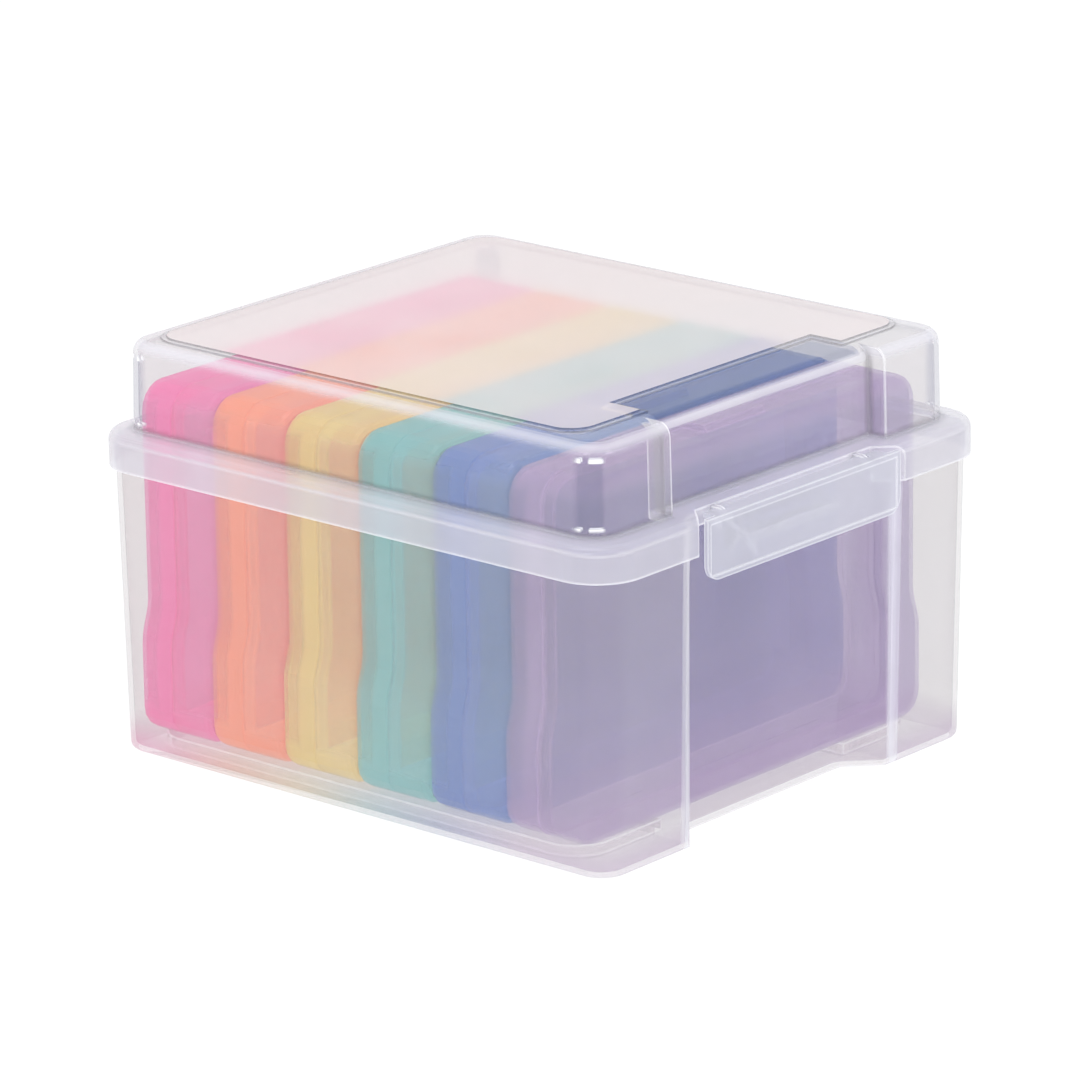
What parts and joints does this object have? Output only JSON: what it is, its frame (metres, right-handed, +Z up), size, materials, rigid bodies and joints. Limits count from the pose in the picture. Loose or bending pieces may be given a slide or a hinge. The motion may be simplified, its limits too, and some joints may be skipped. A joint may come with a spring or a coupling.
{
  "type": "photo keeper case",
  "caption": "Clear hinged plastic box with a front latch that holds tinted clamshell photo cases standing on edge, each of which lifts out.",
  "frame": {"origin": "middle of the bounding box at the table surface", "axes": "+Z up, -Y towards the latch (front), +X to the right seen from the front"},
  "size_m": [0.196, 0.2282, 0.141],
  "materials": {
    "clear_pp": "moulded natural polypropylene, see-through, slightly milky",
    "latch_pp": "moulded natural polypropylene, milky",
    "pink_pp": "moulded pink tinted polypropylene, see-through",
    "orange_pp": "moulded orange tinted polypropylene, see-through",
    "yellow_pp": "moulded yellow tinted polypropylene, see-through",
    "teal_pp": "moulded teal tinted polypropylene, see-through",
    "blue_pp": "moulded blue tinted polypropylene, see-through",
    "purple_pp": "moulded purple tinted polypropylene, see-through"
  },
  "bodies": {
    "box": {"box_body": "clear_pp"},
    "lid": {"box_lid": "clear_pp"},
    "latch": {"latch": "latch_pp"},
    "pink_case": {"case_pink_base": "pink_pp", "case_pink_lid": "pink_pp"},
    "orange_case": {"case_orange_base": "orange_pp", "case_orange_lid": "orange_pp"},
    "yellow_case": {"case_yellow_base": "yellow_pp", "case_yellow_lid": "yellow_pp"},
    "teal_case": {"case_teal_base": "teal_pp", "case_teal_lid": "teal_pp"},
    "blue_case": {"case_blue_base": "blue_pp", "case_blue_lid": "blue_pp"},
    "purple_case": {"case_purple_base": "purple_pp", "case_purple_lid": "purple_pp"}
  },
  "joints": [
    {"name": "lid_hinge", "type": "hinge", "parent": "box", "child": "lid", "pos_m": [0, 0.1105, 0.0935], "axis": [-1, 0, 0], "range_deg": [0, 135]},
    {"name": "latch_hinge", "type": "hinge", "parent": "lid", "child": "latch", "pos_m": [0, -0.1079, 0.107], "axis": [-1, 0, 0], "range_deg": [0, 95]},
    {"name": "pink_case_lift", "type": "slide", "parent": "box", "child": "pink_case", "axis": [0, 0, 1], "range_m": [0, 0.105]},
    {"name": "orange_case_lift", "type": "slide", "parent": "box", "child": "orange_case", "axis": [0, 0, 1], "range_m": [0, 0.105]},
    {"name": "yellow_case_lift", "type": "slide", "parent": "box", "child": "yellow_case", "axis": [0, 0, 1], "range_m": [0, 0.105]},
    {"name": "teal_case_lift", "type": "slide", "parent": "box", "child": "teal_case", "axis": [0, 0, 1], "range_m": [0, 0.105]},
    {"name": "blue_case_lift", "type": "slide", "parent": "box", "child": "blue_case", "axis": [0, 0, 1], "range_m": [0, 0.105]},
    {"name": "purple_case_lift", "type": "slide", "parent": "box", "child": "purple_case", "axis": [0, 0, 1], "range_m": [0, 0.105]}
  ],
  "couplings": [
    {"joint": "pink_case_lift", "follows": "lid_hinge", "m_per_rad": 0.0445},
    {"joint": "orange_case_lift", "follows": "lid_hinge", "m_per_rad": 0.0445},
    {"joint": "yellow_case_lift", "follows": "lid_hinge", "m_per_rad": 0.0445},
    {"joint": "teal_case_lift", "follows": "lid_hinge", "m_per_rad": 0.0445},
    {"joint": "blue_case_lift", "follows": "lid_hinge", "m_per_rad": 0.0445},
    {"joint": "purple_case_lift", "follows": "lid_hinge", "m_per_rad": 0.0445}
  ]
}
